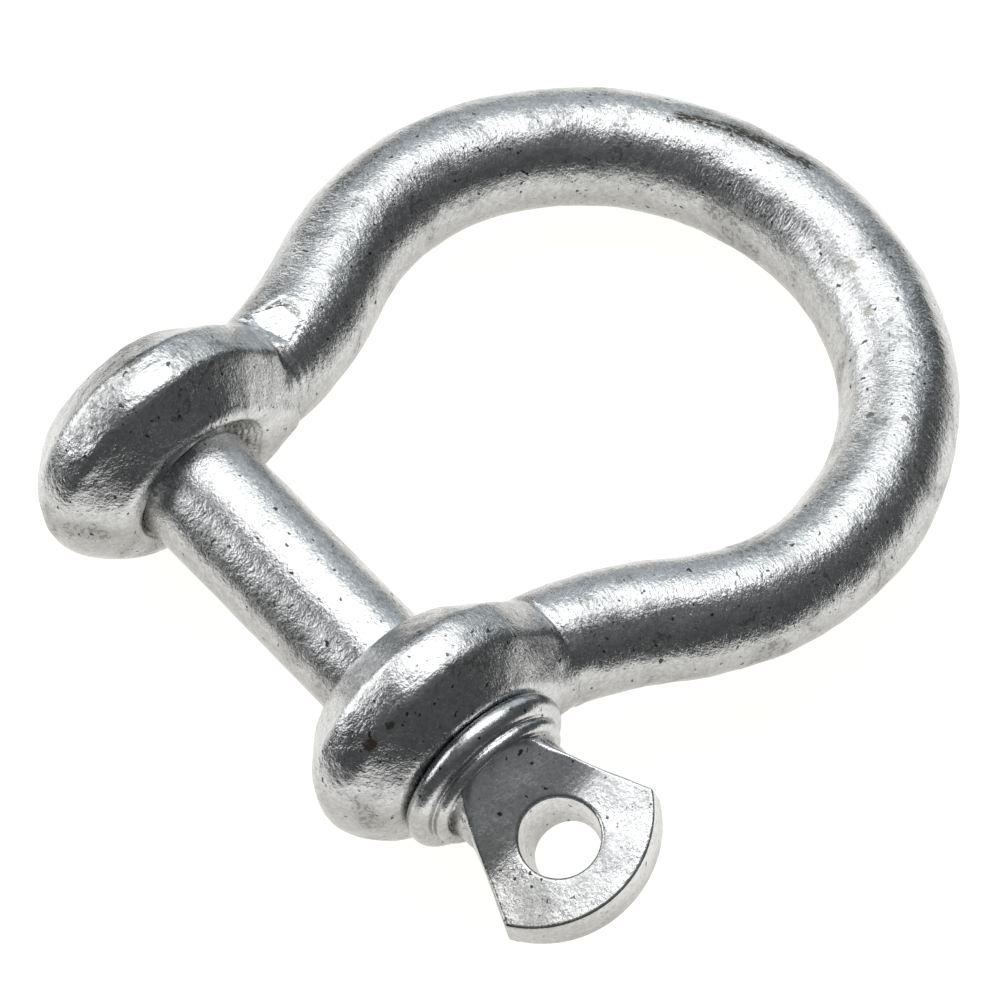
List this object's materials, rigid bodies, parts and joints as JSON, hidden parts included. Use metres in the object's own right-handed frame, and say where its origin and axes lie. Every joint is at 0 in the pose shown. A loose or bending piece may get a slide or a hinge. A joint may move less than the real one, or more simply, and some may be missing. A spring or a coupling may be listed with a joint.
{
  "type": "bow shackle",
  "caption": "Galvanised bow shackle with a screw collar pin: a rounded bow joins two bored ears, and an eyed pin screws across its jaw.",
  "frame": {"origin": "on the pin's axis, midway between the two ears", "axes": "+X along the pin towards its head, +Y towards the crown of the bow, +Z out of the bow's plane"},
  "size_m": [0.0656, 0.0719, 0.0218],
  "materials": {
    "galvanised_bow": "hot-dip galvanised forged steel, mottled bright zinc with shallow lumps, dull patches and small dark specks",
    "galvanised_pin": "hot-dip galvanised forged steel, a little smoother and brighter than the bow"
  },
  "bodies": {
    "bow": {"bow": "galvanised_bow"},
    "shank": {"pin_shank": "galvanised_pin"},
    "screw": {"pin_head": "galvanised_pin", "pin_thread": "galvanised_pin"}
  },
  "joints": [
    {"name": "pin_travel", "type": "slide", "parent": "bow", "child": "shank", "axis": [1, 0, 0], "range_m": [0, 0.0435]},
    {"name": "pin_turn", "type": "hinge", "parent": "shank", "child": "screw", "pos_m": [0, 0, 0], "axis": [1, 0, 0], "range_deg": [0, 10440]}
  ],
  "couplings": [
    {"joint": "pin_turn", "follows": "pin_travel", "rad_per_m": 4188.8}
  ]
}
